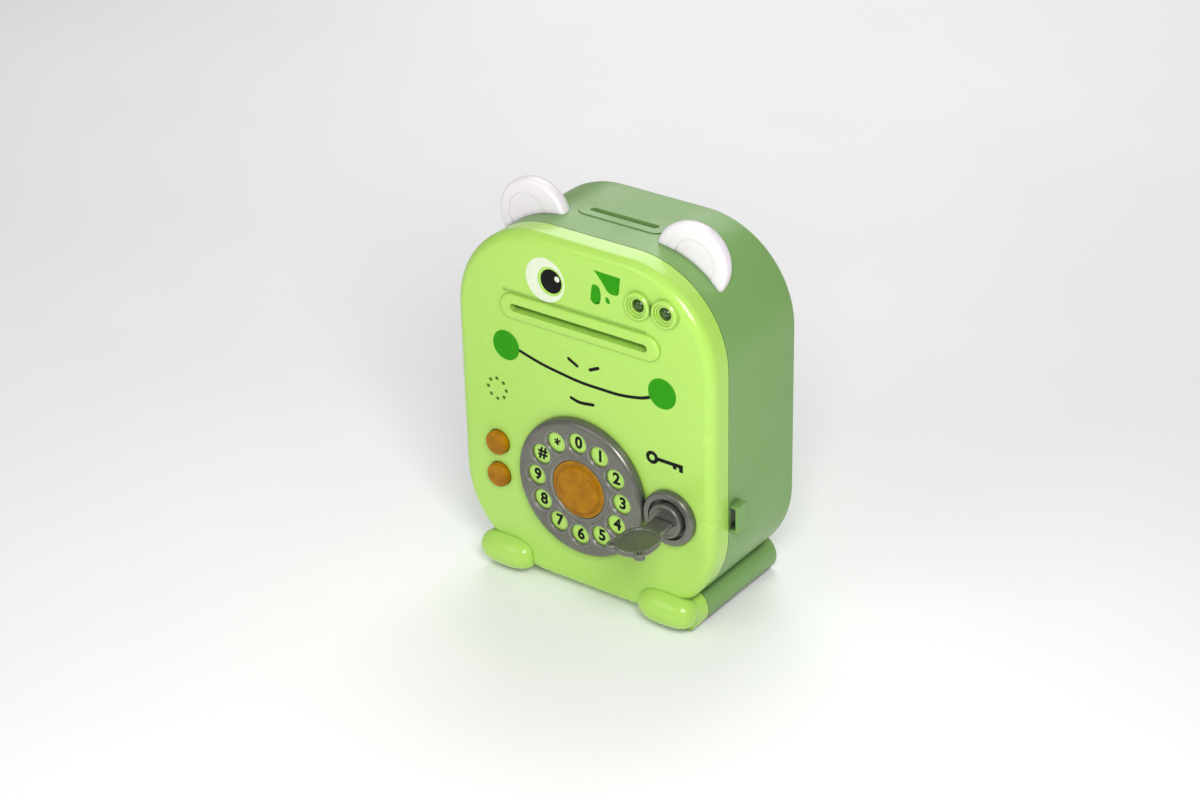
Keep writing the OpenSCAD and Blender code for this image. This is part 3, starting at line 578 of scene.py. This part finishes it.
printed("print_mouth", stroke([(-40.8, 140.3), (-26.7, 136.7), (-13.5, 134.6), (-0.6, 133.1), (12.3, 132.9),
                               (25.1, 133.2), (37.8, 135.3), (44.8, 138.0)], 1.8), INK_BLACK)
printed("print_nostril_left", stroke([(-7.7, 144.9), (-2.3, 142.1)], 1.9), INK_BLACK)
printed("print_nostril_right", stroke([(6.1, 142.2), (11.3, 144.7)], 1.9), INK_BLACK)
printed("print_chin", stroke([(-6.8, 122.0), (-1.0, 120.8), (7.5, 121.9)], 1.9), INK_BLACK)
printed("print_key_bow", disc(44.9, 102.4, 3.8, 64), INK_BLACK)
printed("print_key_eye", disc(44.9, 102.4, 1.7, 48), LIME, 2)
printed("print_key_blade", rounded([(48.2, 103.5, 0.3), (64.3, 103.5, 0.4), (64.3, 98.9, 0.4),
                                    (61.9, 98.9, 0.4), (61.9, 101.3, 0.3), (60.2, 101.3, 0.3),
                                    (60.2, 99.7, 0.4), (58.0, 99.7, 0.4), (58.0, 101.3, 0.3),
                                    (48.2, 101.3, 0.3)]), INK_BLACK)


# ---- the dial's figures, upright on the raised ring under the finger holes ----

def figure(text, x, z):
    """One character as a thin mesh, centred on the point (x, z) in front view."""
    curve = bpy.data.curves.new("figure", "FONT")
    curve.body = text
    curve.offset = 0.025 if text == "*" else 0.04       # more would close up the star's arms
    curve.extrude = HALF_EXTRUSION
    curve.resolution_u = 6
    helper = bpy.data.objects.new("figure", curve)
    bpy.context.scene.collection.objects.link(helper)
    bpy.context.view_layer.update()
    mesh = bpy.data.meshes.new_from_object(helper.evaluated_get(bpy.context.evaluated_depsgraph_get()))
    bpy.data.objects.remove(helper)
    bpy.data.curves.remove(curve)
    xs = [v.co.x for v in mesh.vertices]
    ys = [v.co.y for v in mesh.vertices]
    scale = FIGURE_HEIGHT / CAP_HEIGHT
    middle = Vector(((min(xs) + max(xs)) / 2, (min(ys) + max(ys)) / 2, 0))
    thick = INK / (2 * HALF_EXTRUSION)
    for v in mesh.vertices:
        p = (v.co - middle) * scale
        v.co = (x + p.x, PLATEAU_Y - INK / 2 - v.co.z * thick, z + p.y)
    return mesh


FIGURE_NAMES = {"#": "hash", "*": "star"}
for k, text in enumerate("0123456789#*"):
    angle = math.radians(30 * k)
    x = DIAL_X + HOLE_CIRCLE * math.sin(angle)
    z = DIAL_Z + HOLE_CIRCLE * math.cos(angle)
    name = "dial_figure_" + FIGURE_NAMES.get(text, text)
    new_piece(name, figure(text, x, z), INK_BLACK, "door")


# ---- camera, light and floor ----

def camera():
    """A long lens that looks down on the front from the viewer's right."""
    data = bpy.data.cameras.new("camera")
    data.lens = 81
    data.sensor_width = 36
    data.clip_start = 0.05
    data.clip_end = 50
    obj = bpy.data.objects.new("camera", data)
    bpy.context.scene.collection.objects.link(obj)
    level = Vector((-math.sin(CAMERA_AZIMUTH), math.cos(CAMERA_AZIMUTH), 0))
    ahead = level * math.cos(CAMERA_TILT) - Vector((0, 0, math.sin(CAMERA_TILT)))
    right = Vector((math.cos(CAMERA_AZIMUTH), math.sin(CAMERA_AZIMUTH), 0))
    up = right.cross(ahead)
    turned_right = right * math.cos(CAMERA_ROLL) + up * math.sin(CAMERA_ROLL)
    turned_up = up * math.cos(CAMERA_ROLL) - right * math.sin(CAMERA_ROLL)
    turn = Matrix((turned_right, turned_up, -ahead)).transposed()
    obj.matrix_world = Matrix.Translation(CAMERA_PLACE) @ turn.to_4x4()
    bpy.context.scene.camera = obj


def softbox(name, place, size, power):
    """A square area light that faces the upper half of the object."""
    data = bpy.data.lights.new(name, "AREA")
    data.size = size
    data.energy = power
    obj = bpy.data.objects.new(name, data)
    bpy.context.scene.collection.objects.link(obj)
    obj.location = place
    obj.rotation_mode = "QUATERNION"
    obj.rotation_quaternion = (LIGHT_AIM - obj.location).to_track_quat("-Z", "Y")


def studio():
    """Soft lights from the front and behind, a pale sky and a plain floor."""
    softbox("key_light", (0.4, -0.42, 0.54), 0.25, 3.4)
    softbox("front_light", (-0.3, -0.8, 0.6), 0.5, 1.5)
    softbox("back_light", (-0.5, 1.0, 1.1), 1.0, 9)
    world = bpy.data.worlds.new("studio")
    world.use_nodes = True
    sky = world.node_tree.nodes["Background"]
    sky.inputs["Color"].default_value = (1, 1, 1, 1)
    sky.inputs["Strength"].default_value = 0.3
    bpy.context.scene.world = world
    bpy.context.scene.view_settings.view_transform = "Standard"

    half = FLOOR_HALF_WIDTH
    mesh = bpy.data.meshes.new("floor")
    corners = [(-half, -half, 0), (half, -half, 0), (half, half, 0), (-half, half, 0)]
    mesh.from_pydata(corners, [], [(0, 1, 2, 3)])
    mesh.materials.append(floor_paper())
    floor = bpy.data.objects.new("floor", mesh)
    floor.location.z = CAD_BOX[0].z - FLOOR_GAP
    bpy.context.scene.collection.objects.link(floor)


camera()
studio()
